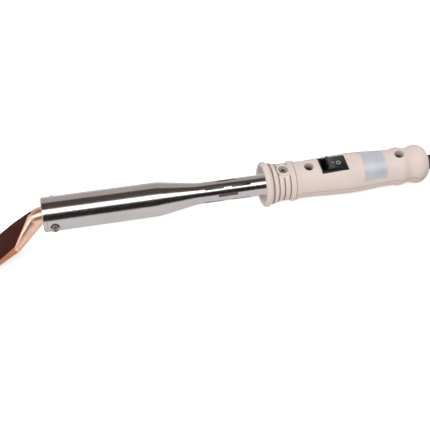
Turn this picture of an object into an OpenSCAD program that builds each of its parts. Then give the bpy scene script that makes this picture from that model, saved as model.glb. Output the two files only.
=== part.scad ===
// Heavy electric soldering iron: copper chisel bit, steel barrel, two-part grip, rocker switch and cord.
// Every piece is drawn with the barrel axis on X and the front of the grip at x = 0, and then laid down
// on its bit and the rear knob of the grip by in_place().

/* [Copper bit] */
// Radius of the round copper shank
bit_r = 6.5; // [5.5:0.1:6.8]
// Length of shank pushed into the barrel
bit_insert = 68; // [40:1:72]
// Angle of the bend in the bit, in degrees
bit_bend = 45; // [20:1:55]
// Radius of the bend at the middle of the shank
bend_r = 10; // [9:0.5:16]
// Length from the bend to the shoulder of the chisel
shoulder_len = 25; // [18:1:34]
// How much earlier the top flat starts than the underside
shoulder_lead = 4; // [0:0.5:6]
// Length from the bend to the working edge
blade_len = 61; // [50:1:75]
// Width of the chisel at its shoulder
shoulder_w = 21.6; // [16:0.1:24]
// How far the forged shoulder sits to the right of the shank's middle
shoulder_shift = 2.2; // [0:0.1:2.5]
// Width of the chisel at its working edge
edge_w = 24; // [18:0.5:28]
// Thickness of the chisel at its shoulder
shoulder_t = 6.2; // [5:0.2:9]
// Thickness of the chisel at its working edge
edge_t = 2; // [1:0.1:3]

/* [Barrel] */
// Outer radius of the wide part of the barrel
barrel_r = 12.7; // [12:0.1:15]
// Outer radius of the neck tube
neck_r = 7.95; // [7:0.05:9]
// Thickness of the barrel's sheet steel
barrel_wall = 0.8; // [0.6:0.1:1]
// Length of the wide part of the barrel
wide_len = 80.9; // [74:0.1:90]
// Length of the taper from the wide part to the neck
taper_len = 36; // [30:1:45]
// Length over which each corner of the taper is rounded
taper_round = 6; // [2:0.5:12]
// Visible length of the neck, up to the front of the grip
neck_len = 46; // [44:1:60]
// Length of the neck that is held inside the grip
neck_hold = 28; // [26:0.5:29]
// Radius of the rolled front lip of the barrel
lip_round = 1.2; // [0.6:0.1:1.5]
// Length of a vent slot in the neck
slot_len = 15; // [10:0.5:17]
// Width of a vent slot
slot_w = 2; // [1.2:0.1:2.6]
// Distance from one slot to the next in a row of two
slot_pitch = 20.5; // [19:0.5:24]
// Number of rows of slots around the neck
slot_rows = 8; // [4:2:8]
// Distance from the grip to the middle of the slots
slot_setback = 27.4; // [24:0.2:30]

/* [Clamp screws] */
// Distance of the clamp screws behind the barrel's mouth
clamp_setback = 8; // [8:0.5:11]
// Radius of a clamp screw's shank
clamp_r = 1.95; // [1.5:0.05:2.3]
// Radius of a clamp screw's head
clamp_head_r = 2.8; // [2.6:0.1:3.2]
// Height of a clamp screw's head
clamp_head_h = 3; // [2:0.1:3.5]
// Distance from the barrel axis to the outer face of a clamp screw
clamp_reach = 15.4; // [15:0.1:17]

/* [Grip] */
// Length of the grip
grip_len = 133; // [131:1:140]
// Largest radius of the front flange
flange_r = 17.3; // [16.8:0.1:18.5]
// Radius of the flange's rounded lip
flange_round = 2.3; // [1.8:0.1:2.6]
// Radius of the grip at its widest, under the fingers
grip_r = 15.5; // [15.2:0.1:16.5]
// Radius of the grip behind the front bead
grip_front_r = 14.1; // [14:0.1:15]
// Radius of the grip before the rear ring
grip_rear_r = 14; // [13.8:0.1:14.6]
// Radius of the rear knob
knob_r = 15.1; // [14.8:0.1:16]
// Radius of the knob's rounded end
knob_round = 8.5; // [7:0.1:9]
// Distance between the grooves behind the flange
groove_pitch = 4.4; // [4:0.1:4.6]
// Depth of each groove
groove_depth = 1.1; // [0.6:0.1:1.4]
// Width of each groove
groove_w = 0.9; // [0.6:0.1:1.3]
// Radius of the hollow inside the grip
hollow_r = 11.8; // [11.6:0.1:12]
// Radius of the screw wells in the grip
well_r = 3.65; // [3.3:0.05:3.8]
// Place of the front grip screw behind the flange
front_screw_x = 35.3; // [34:0.1:36]
// Distance of the rear grip screw from the rear of the grip
rear_screw_back = 25; // [23:0.5:26]
// Place of the screw that holds the barrel
collar_screw_x = 15.2; // [14.5:0.1:16]

/* [Switch] */
// Length of the switch bezel along the grip
bezel_len = 21; // [20.5:0.1:21.5]
// Width of the switch bezel
bezel_w = 15; // [14.6:0.1:15.2]
// Thickness of the switch bezel
bezel_t = 1.8; // [1.5:0.1:2]
// Height of the bezel's face above the barrel axis
bezel_top = 13.3; // [13.1:0.1:13.4]
// Place of the switch behind the flange
switch_x = 54.8; // [54:0.1:56]
// Length of the rocker
rocker_len = 15.4; // [14.6:0.1:15.6]
// Width of the rocker
rocker_w = 10.6; // [10:0.1:10.8]
// Tilt of the rocker to either side of its middle, in degrees
rocker_tilt = 13; // [10:0.5:13]

/* [Cord] */
// Radius of the mains cord
cord_r = 3.5; // [3.5:0.1:3.6]
// Length of the strain relief outside the grip
boot_len = 38; // [30:1:50]
// Radius of the strain relief where it leaves the grip
boot_r = 5.65; // [5.2:0.05:6]

/* [Hidden] */
$fn = 64;
// Running fit of a moving shaft in its hole
run = 0.05;
// Gap between pieces that are put together and don't move
seat = 0.1;
// Gap between moving pieces that never touch
free_gap = 0.3;
eps = 0.01;

// Step where the forged blade begins
blade_step = 0.05;

// Places along the barrel axis
mouth_x = -(wide_len + taper_len + neck_len);
taper_x0 = mouth_x + wide_len;
taper_x1 = taper_x0 + taper_len;
clamp_x = mouth_x + clamp_setback;
bush_front = mouth_x + 2.2;
bush_back = clamp_x + 6;
bore_r = bit_r + run;
bend_x = bush_front - 0.2;
bit_end = bend_x + bit_insert;
core_end = bit_end + 4;
insulator_t = 4.5;
barrel_in = barrel_r - barrel_wall;

// Layers of the heater, from the bit outwards
core_in = bit_r + free_gap;
core_out = core_in + 0.8;
mica_t = 0.5;
winding_in = core_out + mica_t + 2 * seat;
winding_t = 1;
winding_out = winding_in + winding_t;
mica_out = winding_out + seat + mica_t;
wire_pitch = 2;

// Lip, grooves and boss at the front of the grip
lip_c = flange_r - flange_round;
groove_x0 = 6;
boss_r = 5.6;
boss_top = 14.8;
dish_r = 9.2;
dish_depth = 6;
seat_front = 10;
seat_back = 19;
seat_r = neck_r + seat;

// Stations of the grip's outline: distance behind the flange and radius
ring_r = [15.6, 14.5, 13.9, 14.1];
bead_x = 22.2;
bead_r = 15.2;
neck_x = 29;
waist_x = grip_len - 29.5;
rear_ring_x = grip_len - 23.5;
rear_ring_r = 15;
rear_neck_x = grip_len - 16.5;
rear_neck_r = 13.4;
knob_x = grip_len - knob_round;
widest_x = 70;
hollow_x0 = seat_back;
hollow_x1 = knob_x - 3;

// Grip screws
rear_screw_x = grip_len - rear_screw_back;
post_r = 4.7;
screw_seat_z = 5;
screw_r = 1.5;
screw_head_r = 2.9;
screw_head_h = 2.2;
screw_len = 15;

// Switch housing
housing_len = bezel_len - 2;
housing_w = bezel_w - 2;
housing_bottom = -1.5;
pivot_z = bezel_top - 5.8;
rocker_top = 8.55;
rocker_pin_r = 1.2;
opening_len = bezel_len - 2.2;
tab_x = 5;
tab_w = 4.8;
tab_t = 0.8;
tab_len = 7;
tab_front = switch_x - tab_x - tab_t / 2;
tab_back = switch_x + tab_x + tab_t / 2;

// Terminal block and wires inside the grip
block_x0 = switch_x + 20.2;
block_len = 12;
block_x1 = block_x0 + block_len;
block_w = 14;
block_top = -1.5;
block_h = 6.5;
pole_y = 3.2;
pole_z = -4.5;
lead_r = 1.2;
core_wire_r = 1.1;
wire_z = housing_bottom - 4.5;

// Strain relief
boot_neck_r = 4.6;
boot_flange_r = 7;
boot_flange_t = 2.4;
boot_tip_r = 4.4;
boot_front = hollow_x1 - boot_flange_t - seat;
stop_t = 3;
sheath_end = boot_front - stop_t - 0.2;

// How the iron lies: the working edge and the rear knob both touch the surface
edge_x = bend_x - bend_r * sin(bit_bend) - blade_len * cos(bit_bend) + edge_t / 2 * sin(bit_bend);
edge_z = -bend_r * (1 - cos(bit_bend)) - blade_len * sin(bit_bend) - edge_t / 2 * cos(bit_bend);
knob_c = knob_r - knob_round;
span_x = knob_x - edge_x;
span_z = -knob_c - edge_z;
tilt = atan2(span_z, span_x) - asin(knob_round / norm([span_x, span_z]));
place_z = edge_x * sin(tilt) - edge_z * cos(tilt);
boot_end = grip_len + boot_len;
far_x = boot_end * cos(tilt) + boot_tip_r * sin(tilt);
near_x = min(tipped(edge_x, edge_z),
  tipped(edge_x - edge_t * sin(bit_bend), edge_z + edge_t * cos(bit_bend)));
place_x = -(far_x + near_x) / 2;
function tipped(x, z) = x * cos(tilt) + z * sin(tilt);
function laid(p) = [place_x + tipped(p[0], p[2]), p[1], place_z - p[0] * sin(tilt) + p[2] * cos(tilt)];

// Route of the cord on the surface, in the frame of the finished iron
cord_exit = laid([boot_end, 0, 0]);
cord_dir = [cos(tilt), 0, -sin(tilt)];
fold_x = 266;
hank_run = 120;
hank_out = 36;
hank_step = 8.6;
hank_layer = 8.5;
hank_turns = 3.75;
climb = 1.75;
hank_y = flange_r - hank_out - cord_r;
waist_in = 2.4;
waist_step = 8.9;
loop_rings = 24;
stub = 2 * cord_r;
tie_t = 1.2;
tie_w = 6;
plug_at = [178, -42.5, 0];
plug_r = 19;
plug_t = 20;
nose_len = 31;
nose_r = 4.6;
nose_z = 8;

// Small functions
function unit(v) = v / norm(v);
function cat(a, b, c, d, t) = 0.5 * (2 * b + (c - a) * t + (2 * a - 5 * b + 4 * c - d) * t * t
  + (3 * b - a - 3 * c + d) * t * t * t);
function spline(p, n) = concat([for (i = [0:len(p) - 2]) for (j = [0:n - 1])
  cat(p[max(i - 1, 0)], p[i], p[i + 1], p[min(i + 2, len(p) - 1)], j / n)], [p[len(p) - 1]]);
function ease(x0, r0, x1, r1, n) = [for (i = [0:n]) [r0 + (r1 - r0) * (1 - cos(180 * i / n)) / 2,
  x0 + (x1 - x0) * i / n]];
function arc(cr, cx, r, a0, a1, n) = [for (i = [0:n]) let (a = a0 + (a1 - a0) * i / n)
  [cr + r * cos(a), cx + r * sin(a)]];
// A straight taper with both of its corners rounded over the length b
function taper(x0, r0, x1, r1, b) = let (s = (r1 - r0) / (x1 - x0 - b)) concat(
  [for (i = [0:6]) [r0 + s * b * i * i / 72, x0 + b * i / 6]],
  [for (i = [6:-1:0]) [r1 - s * b * i * i / 72, x1 - b * i / 6]]);
function way(p, i) = unit(p[min(i + 1, len(p) - 1)] - p[max(i - 1, 0)]);

// Turns an outline of [radius, distance] about the X axis
module turned(points) rotate([0, 90, 0]) rotate_extrude() polygon(points);
module rod(r, x0, x1) translate([x0, 0, 0]) rotate([0, 90, 0]) cylinder(r = r, h = x1 - x0);
module pipe(r1, r0, x0, x1) difference() {
  rod(r1, x0, x1);
  rod(r0, x0 - 1, x1 + 1);
}
module block(lo, hi) translate(lo) cube(hi - lo);

// A round tube swept along points, closed at both ends
module swept(p, r, sides) {
  n = len(p);
  rings = [for (i = [0:n - 1]) let (t = way(p, i), s = unit(cross(t, [0, 0, 1])), u = cross(s, t))
    for (k = [0:sides - 1]) let (a = 360 * (k + 0.5) / sides) p[i] + r * (cos(a) * s + sin(a) * u)];
  walls = [for (i = [0:n - 2]) for (k = [0:sides - 1])
    let (a = i * sides + k, b = i * sides + (k + 1) % sides)
    for (f = [[a, b, a + sides], [b, b + sides, a + sides]]) f];
  first = [for (k = [1:sides - 2]) [0, k + 1, k]];
  last = [for (k = [1:sides - 2]) [0, k, k + 1] + (n - 1) * sides * [1, 1, 1]];
  polyhedron(rings, concat(walls, first, last));
}

// A wire along points, straight from the first point to the second and into the last
module wire(p, r) swept(concat([p[0]], spline([for (i = [1:len(p) - 2]) p[i]], 2), [p[len(p) - 1]]), r, 8);

// Lays a piece down with the rest of the iron
module in_place() translate([place_x, 0, place_z]) rotate([0, tilt, 0]) children();

// Outline of the outside of the barrel, and of its inside when in = barrel_wall
function barrel_outline(in) = concat(taper(taper_x0, barrel_r - in, taper_x1, neck_r - in, taper_round),
  [[neck_r - in, neck_hold]]);

module barrel() in_place() color("silver") difference() {
  turned(concat([[barrel_in, mouth_x]],
    arc(barrel_r - lip_round, mouth_x + lip_round, lip_round, -90, 0, 8),
    [[barrel_r, mouth_x + 2.5], [barrel_r - 0.25, mouth_x + 2.7], [barrel_r - 0.25, mouth_x + 3.1],
     [barrel_r, mouth_x + 3.3]], barrel_outline(0), [[0, neck_hold], [0, mouth_x]]));
  turned(concat([[0, mouth_x - 1], [barrel_in - lip_round / 2, mouth_x - 1],
    [barrel_in - lip_round / 2, bush_front],
    [barrel_in, bush_front]], barrel_outline(barrel_wall), [[neck_r - barrel_wall, neck_hold + 1],
    [0, neck_hold + 1]]));
  for (k = [0:slot_rows - 1])
    rotate([360 * (k + 0.5) / slot_rows, 0, 0])
      for (s = k % 2 == 0 ? [-0.5, 0.5] : [0])
        translate([-slot_setback + s * slot_pitch, 0, 0]) vent_slot();
  for (s = [-1, 1])
    translate([clamp_x, 0, 0]) rotate([-90 * s, 0, 0]) cylinder(r = clamp_head_r + 0.5, h = barrel_r + 1);
  translate([collar_screw_x, 0, 0]) cylinder(r = screw_r + run, h = neck_r + 1);
  translate([earth_x, 0, -neck_r - 1]) cylinder(r = screw_r + run, h = neck_r + 1);
}
module vent_slot() {
  block([-slot_len / 2 + slot_w / 2, -slot_w / 2, 0], [slot_len / 2 - slot_w / 2, slot_w / 2, neck_r + 1]);
  for (s = [-1, 1])
    translate([s * (slot_len - slot_w) / 2, 0, 0]) cylinder(r = slot_w / 2, h = neck_r + 1);
}

module front_bush() in_place() color("dimgray") difference() {
  rod(barrel_in - seat, bush_front + eps, bush_back);
  rod(bore_r, bush_front - 1, bush_back + 1);
  for (s = [-1, 1])
    translate([clamp_x, 0, 0]) rotate([-90 * s, 0, 0]) cylinder(r = clamp_r + run, h = barrel_r);
}

// The copper bit: round shank, bend, shoulder and wedge
module soldering_tip() in_place() color("peru") {
  turned([[0, bend_x], [bit_r, bend_x], [bit_r, bit_end - 1.5], [bit_r - 1.5, bit_end], [0, bit_end]]);
  translate([bend_x, 0, -bend_r]) rotate([90, -90, 0])
    rotate_extrude(angle = bit_bend) translate([bend_r, 0]) circle(r = bit_r);
  translate([bend_x - bend_r * sin(bit_bend), 0, -bend_r * (1 - cos(bit_bend))]) rotate([0, -bit_bend, 0]) {
    hull() {
      translate([-blade_step, 0, 0]) rotate([0, 90, 0]) cylinder(r = bit_r + 0.06, h = 2 * blade_step, $fn = 32);
      shoulder();
    }
    hull() {
      shoulder();
      chisel_slice(blade_len - 0.1, edge_w, edge_t);
    }
  }
}
module shoulder() translate([0, -shoulder_shift, 0]) {
  block([-shoulder_len - 0.1, -shoulder_w / 2, -shoulder_t / 2], [-shoulder_len, shoulder_w / 2, 0]);
  translate([shoulder_lead, 0, 0])
    block([-shoulder_len - 0.1, -shoulder_w / 2, 0], [-shoulder_len, shoulder_w / 2, shoulder_t / 2 + 0.1]);
}
module chisel_slice(at, w, t) block([-at - 0.1, -w / 2, -t / 2], [-at, w / 2, t / 2]);

// A clamp screw points along +Y before it is turned to its side
module clamp_screw(side) in_place() color("lightgray")
  translate([clamp_x, 0, 0]) rotate([90 * side, 0, 0]) difference() {
    union() {
      translate([0, 0, bit_r + free_gap]) cylinder(r = clamp_r, h = clamp_reach - bit_r - free_gap - 1);
      translate([0, 0, clamp_reach - clamp_head_h]) cylinder(r = clamp_head_r, h = clamp_head_h - 0.7);
      translate([0, 0, clamp_reach - 0.7]) cylinder(r1 = clamp_head_r, r2 = clamp_head_r - 0.7, h = 0.7);
    }
    cross_recess(clamp_reach, 3.6, 0.8, 1.4);
  }
module cross_recess(top, len, w, deep) for (a = [0, 90])
  rotate(a) block([-len / 2, -w / 2, top - deep], [len / 2, w / 2, top + 1]);
module clamp_screw_near() clamp_screw(1);
module clamp_screw_far() clamp_screw(-1);

// Heater: steel core, mica, winding and mica, between the bush and a ceramic disc
module heater_core() in_place() color("gray") pipe(core_out, core_in, bush_back + seat, core_end);
module inner_mica() in_place() color("tan")
  pipe(core_out + seat + mica_t, core_out + seat, bush_back + 1, core_end - 1);
module heating_winding() in_place() color("darkkhaki") turned(concat(
  [[winding_in, winding_x0]],
  [for (x = [winding_x0:wire_pitch:winding_x1 - wire_pitch]) for (a = [0:60:300])
    [winding_out - 0.3 + 0.3 * sin(a), x + wire_pitch * a / 360]],
  [[winding_out - 0.3, winding_x1], [winding_in, winding_x1]]));
winding_x0 = bush_back + 2;
winding_x1 = winding_x0 + wire_pitch * floor((core_end - 2 - winding_x0) / wire_pitch);
module outer_mica() in_place() color("tan") pipe(mica_out, winding_out + seat, bush_back + 1, core_end - 1);
module rear_insulator() in_place() color("ivory") difference() {
  rod(barrel_in - seat, core_end - 1 + seat, core_end - 1 + insulator_t);
  rod(core_out + seat, core_end - 2, core_end + seat);
  rod(2, core_end - 2, core_end + insulator_t);
  for (s = [-1, 1])
    translate([0, s * tail_y, 0]) rod(tail_r + run, core_end - 2, core_end + insulator_t);
}
tail_r = 0.5;
tail_y = winding_in + winding_t / 2 - 0.1;
tail_end = core_end - 1 + insulator_t;
module heater_tails() in_place() color("silver") for (s = [-1, 1])
  translate([0, s * tail_y, 0]) rod(tail_r, winding_x1, tail_end + 0.5);
module heater_leads() in_place() color("wheat") {
  wire(concat(lead_start(-1), [[post_back, -6.8, -5], [post_back + 3.2, -5.6, -6.8],
    [tab_front - 3.8, -2.6, -6.8],
    [tab_front - 1.8, -0.5, wire_z - 0.2], [tab_front - 0.8, 0, wire_z], [tab_front, 0, wire_z]]), lead_r);
  wire(concat(lead_start(1), [[post_back, 7.2, -5], [post_back + 4, 6.8, -6.8], [block_x0 - 10, 6.4, -7],
    [block_x0 - 5, 5, -6], [block_x0 - 1, pole_y, pole_z], [block_x0, pole_y, pole_z]]), lead_r);
}
post_back = front_screw_x + post_r;
function lead_start(s) = [[tail_end + 0.5, s * tail_y, 0], [tail_end + 1.5, s * tail_y, 0],
  [taper_x0 + 14, s * 6.5, 0], [taper_x0 + 26, s * 3.8, 0], [taper_x1, s * 2.7, 0], [0, s * 2.7, 0],
  [seat_back + 3, s * 2.8, 0], [front_screw_x - 8.3, s * 4.6, -1], [front_screw_x - 3.3, s * 6.7, -2.6]];

// Outline of the outside of the grip, from the lip to the rear
function grip_outline() = concat(
  [[lip_c, 0]],
  arc(lip_c, flange_round, flange_round, -80, 40, 8),
  [[ring_r[0] + 0.5, groove_x0 - 0.5]],
  [for (k = [0:2]) for (u = [0.1, 0.5, 0.9])
    [ring_r[k] + (ring_r[k + 1] - ring_r[k]) * u + (u == 0.5 ? 0.25 : 0),
     groove_x0 + (k + u) * groove_pitch]],
  ease(groove_x0 + 3 * groove_pitch + 0.5, ring_r[3] + 0.2, bead_x, bead_r, 4),
  [[bead_r, bead_x + 1], [bead_r - 0.35, bead_x + 1.2]],
  ease(bead_x + 1.7, bead_r - 0.35, neck_x, grip_front_r, 6),
  ease(neck_x, grip_front_r, widest_x, grip_r, 12),
  ease(widest_x, grip_r, waist_x, grip_rear_r, 10),
  ease(waist_x, grip_rear_r, rear_ring_x, rear_ring_r, 8),
  ease(rear_ring_x, rear_ring_r, rear_neck_x, rear_neck_r, 8),
  ease(rear_neck_x, rear_neck_r, knob_x, knob_r, 8),
  arc(knob_c, knob_x, knob_round, 6, 90, 14));
module grip_solid() turned(concat(
  [[seat_r, seat_back], [seat_r, seat_front], [dish_r, seat_front], [dish_r, dish_depth]],
  arc(lip_c, flange_round, flange_round, -180, -100, 6),
  grip_outline(),
  [[boot_neck_r, grip_len], [boot_neck_r, hollow_x1], [hollow_r - 1.2, hollow_x1], [hollow_r, waist_x],
   [hollow_r, hollow_x0], [seat_r, hollow_x0]]));
// The grooves behind the flange; the last two stop at the boss of the collar screw
module grooves() {
  groove(0);
  difference() {
    union() {
      for (k = [1:3])
        groove(k);
      intersection() {
        translate([collar_screw_x, 0, 0]) cylinder(r = boss_r + groove_w, h = 20);
        block([0, -10, 8], [groove_x0 + 1.3 * groove_pitch, 10, 20]);
        pipe(20, ring_r[1] - groove_depth, 6, 20);
      }
    }
    translate([collar_screw_x, 0, 0]) cylinder(r = boss_r, h = 20);
  }
}
module groove(k) turned(let (r = ring_r[k] - groove_depth, x = groove_x0 + k * groove_pitch, h = groove_w / 2)
  [[20, x - h], [r + h, x - h], [r + 0.3 * h, x - 0.7 * h], [r, x], [r + 0.3 * h, x + 0.7 * h],
   [r + h, x + h], [20, x + h]]);

module handle_upper() in_place() color("mistyrose") difference() {
  intersection() {
    union() {
      difference() {
        union() {
          grip_solid();
          translate([collar_screw_x, 0, seat_r + 1]) cylinder(r = boss_r, h = boss_top - seat_r - 1);
        }
        grooves();
      }
      for (x = [front_screw_x, rear_screw_x])
        translate([x, 0, 0]) cylinder(r = post_r, h = grip_front_r - 1);
    }
    block([-1, -20, seat / 2], [grip_len + 1, 20, 20]);
  }
  rod(seat_r, seat_front - 1, seat_back + 1);
  for (x = [front_screw_x, rear_screw_x])
    translate([x, 0, -1]) {
      cylinder(r = screw_r + seat, h = 20);
      translate([0, 0, screw_seat_z + 1]) cylinder(r = well_r, h = 20);
    }
  translate([collar_screw_x, 0, 0]) {
    cylinder(r = screw_r + seat, h = 20);
    translate([0, 0, collar_seat_z]) cylinder(r = well_r, h = 20);
  }
  block([switch_x - bezel_len / 2 - seat, -bezel_w / 2 - seat, bezel_top - bezel_t],
    [switch_x + bezel_len / 2 + seat, bezel_w / 2 + seat, 20]);
  block([switch_x - housing_len / 2 - seat, -housing_w / 2 - seat, 0],
    [switch_x + housing_len / 2 + seat, housing_w / 2 + seat, 20]);
}
collar_seat_z = neck_r + 2.6;

module handle_lower() in_place() color("mistyrose") difference() {
  intersection() {
    union() {
      difference() {
        grip_solid();
        for (k = [0:3])
          groove(k);
      }
      for (x = [front_screw_x, rear_screw_x])
        translate([x, 0, -grip_front_r + 1]) cylinder(r = post_r - 0.4, h = 20);
      for (x = [block_x0 + 2, block_x0 + block_len - 3.5])
        intersection() {
          block([x, -hollow_r - 1, -hollow_r - 1], [x + 1.5, hollow_r + 1, block_top - block_h - seat]);
          rod(hollow_r + 0.5, x - 1, x + 3);
        }
    }
    block([-1, -20, -20], [grip_len + 1, 20, -seat / 2]);
  }
  for (x = [front_screw_x, rear_screw_x])
    translate([x, 0, screw_seat_z - screw_len - 1]) cylinder(r = screw_r + run, h = screw_len + 1);
}

// Pan head screw with its head resting at z = 0 and its shank below
module pan_screw(len) difference() {
  union() {
    translate([0, 0, -len]) cylinder(r = screw_r, h = len + 0.5);
    cylinder(r = screw_head_r, h = screw_head_h - 0.8);
    translate([0, 0, screw_head_h - 0.8]) cylinder(r1 = screw_head_r, r2 = screw_head_r - 0.9, h = 0.8);
  }
  cross_recess(screw_head_h, 3.6, 0.8, 1.3);
}
module handle_screws() in_place() color("lightgray") for (x = [front_screw_x, rear_screw_x])
  translate([x, 0, screw_seat_z]) pan_screw(screw_len);
module collar_screw() in_place() color("lightgray")
  translate([collar_screw_x, 0, collar_seat_z]) rotate(20) pan_screw(collar_seat_z - neck_r + 3.5);

// Rocker switch: a bezel on a box that holds the rocker's two pins
module switch_body() in_place() color("#202022") translate([switch_x, 0, 0]) difference() {
  union() {
    bezel_plate();
    block([-housing_len / 2, -housing_w / 2, housing_bottom],
      [housing_len / 2, housing_w / 2, bezel_top - 1]);
  }
  block([-opening_len / 2, -rocker_w / 2 - free_gap, bezel_top - bezel_t],
    [opening_len / 2, rocker_w / 2 + free_gap, 20]);
  block([-housing_len / 2 + 1, -rocker_w / 2 - free_gap, housing_bottom + 2],
    [housing_len / 2 - 1, rocker_w / 2 + free_gap, bezel_top]);
  translate([0, -20, pivot_z]) rotate([-90, 0, 0]) cylinder(r = rocker_pin_r + run, h = 40);
}
module bezel_plate() intersection() {
  block([-bezel_len / 2, -bezel_w / 2, bezel_top - bezel_t], [bezel_len / 2, bezel_w / 2, bezel_top]);
  rotate([90, 0, 90]) translate([0, 0, -bezel_len / 2]) linear_extrude(bezel_len) polygon([
    [-bezel_w / 2, 0], [bezel_w / 2, 0], [bezel_w / 2, bezel_top - 0.6], [bezel_w / 2 - 0.6, bezel_top],
    [-bezel_w / 2 + 0.6, bezel_top], [-bezel_w / 2, bezel_top - 0.6]]);
}
// Side outline of the rocker about its pins, with both ends level
rocker_outline = let (l = rocker_len / 2, dip = l * tan(rocker_tilt)) [
  [-l + 0.5, rocker_top], [-l / 2, rocker_top - dip * 0.55], [0, rocker_top - dip],
  [l / 2, rocker_top - dip * 0.55],
  [l - 0.5, rocker_top], [l, rocker_top - 0.5], [l - 1, 3], [4, -1.5], [1.2, -2.6], [-1.2, -2.6], [-4, -1.5],
  [-l + 1, 3], [-l, rocker_top - 0.5]];
module rocker() in_place() color("#18181a") translate([switch_x, 0, pivot_z]) rotate([0, rocker_tilt, 0]) {
  rotate([90, 0, 0]) translate([0, 0, -rocker_w / 2]) linear_extrude(rocker_w) polygon(rocker_outline);
  translate([0, -housing_w / 2 + 0.1, 0]) rotate([-90, 0, 0]) cylinder(r = rocker_pin_r, h = housing_w - 0.2);
}
module switch_tabs() in_place() color("gold") for (s = [-1, 1])
  block([switch_x + s * tab_x - tab_t / 2, -tab_w / 2, housing_bottom - tab_len],
    [switch_x + s * tab_x + tab_t / 2, tab_w / 2, housing_bottom]);

// Earth: a screw through the end of the neck holds a tag with its lead
earth_x = neck_hold - 4.5;
tag_t = 0.6;
module earth_screw() in_place() color("goldenrod")
  translate([earth_x, 0, -neck_r - tag_t]) rotate([180, 0, 0]) pan_screw(4);
module earth_lead() in_place() color("yellowgreen") {
  difference() {
    union() {
      translate([earth_x, 0, -neck_r - tag_t]) cylinder(r = 3.2, h = tag_t);
      block([earth_x, -1.3, -neck_r - tag_t], [neck_hold + 1, 1.3, -neck_r]);
    }
    translate([earth_x, 0, -20]) cylinder(r = screw_r + run, h = 40);
  }
  wire([[neck_hold - 1, 0, -neck_r - 1], [neck_hold + 1, 1, -neck_r - 1], [front_screw_x - 3.3, 5, -8.8],
    [front_screw_x + 0.7, 6.2, -8.6], [post_back + 1, 4.8, -9.4], [tab_front + 0.6, 1.8, -10.1],
    [tab_back + 1.8, 0, -10.1], [block_x0 - 5, -2.6, -7.4], [block_x0 - 1, -pole_y, pole_z],
    [block_x0, -pole_y, pole_z]], core_wire_r);
}

// Two-pole connector inside the grip
module terminal_block() in_place() color("ivory") difference() {
  block([block_x0, -block_w / 2, block_top - block_h], [block_x0 + block_len, block_w / 2, block_top]);
  for (s = [-1, 1]) {
    translate([0, s * pole_y, pole_z]) rod(lead_r + 0.2, block_x0 - 1, block_x0 + block_len + 1);
    for (x = [3, block_len - 3])
      translate([block_x0 + x, s * pole_y, pole_z]) cylinder(r = screw_r + run, h = 10);
  }
}
module terminal_screws() in_place() color("goldenrod") for (s = [-1, 1]) for (x = [3, block_len - 3])
  translate([block_x0 + x, s * pole_y, pole_z + lead_r]) difference() {
    cylinder(r = screw_r, h = block_top - pole_z - lead_r - 0.2);
    block([-2, -0.3, block_top - pole_z - lead_r - 0.9], [2, 0.3, 5]);
  }

// Cord inside the grip: a tie stops its sheath behind the strain relief, and its cores pass the rear post
module cord_inner() in_place() color("#1c1c1e") rod(cord_r - seat, sheath_end, boot_end);
module cord_cores() in_place() {
  color("saddlebrown") wire(concat(core_start(1.9, 1.2, 6.4, 2.6), [[past_post(0.3), 6, 2.8],
    [past_post(0.7), 3.5, 3], [block_x1 - 3, 1, 3], [block_x0 - 1, 0, 1], [tab_back + 7.3, 0, -3.5],
    [tab_back + 3.3, 0, -5.6], [tab_back + 1, 0, wire_z], [tab_back, 0, wire_z]]), core_wire_r);
  color("steelblue") wire(concat(core_start(1.9, -1.2, 6.5, -2.4), core_end_at(1)), core_wire_r);
  color("yellowgreen") wire(concat(core_start(-2.2, 0, -6.4, -2), core_end_at(-1)), core_wire_r);
}
function core_start(y, z, post_y, post_z) = [[sheath_end, y, z], [sheath_end - 0.9, y, z],
  [sheath_end - 3.6, y * 0.45 + post_y * 0.55, (z + post_z) / 2], [rear_screw_x, post_y, post_z]];
function core_end_at(s) = [[past_post(0.3), s * 6.1, -3.2], [past_post(0.65), s * 3.8, -4.3],
  [block_x1 + 2, s * pole_y, pole_z], [block_x1, s * pole_y, pole_z]];
function past_post(u) = rear_screw_x + (block_x1 + 2 - rear_screw_x) * u;
module cord_stop() in_place() color("white") translate([boot_front - stop_t / 2, 0, 0]) difference() {
  union() {
    rod(cord_r + 0.9, -stop_t / 2 + 0.3, stop_t / 2 - 0.3);
    block([-stop_t / 2, -2.2, -cord_r - 2.6], [stop_t / 2, 2.2, -cord_r + 0.4]);
  }
  rod(cord_r - seat + run, -stop_t, stop_t);
}

// Strain relief: a flange inside the grip, a neck through its rear wall and a ribbed taper outside
module cord_boot() in_place() color("#161618") turned(concat(
  [[cord_r + run, boot_front], [boot_flange_r, boot_front],
   [boot_flange_r, hollow_x1 - seat], [boot_neck_r - seat, hollow_x1 - seat],
   [boot_neck_r - seat, grip_len + seat]],
  [[boot_r, grip_len + seat], [boot_r, grip_len + 6]],
  [for (k = [0:boot_ribs - 1]) for (q = [[0.15, -0.6], [0.4, -0.6], [0.55, 0], [1, 0]])
    [boot_radius((k + q[0]) / boot_ribs) + q[1], grip_len + 6 + (boot_len - 9) * (k + q[0]) / boot_ribs]],
  [[boot_tip_r, boot_end], [cord_r + run, boot_end]]));
boot_ribs = 6;
function boot_radius(u) = boot_r + (boot_tip_r - boot_r) * u;

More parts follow.
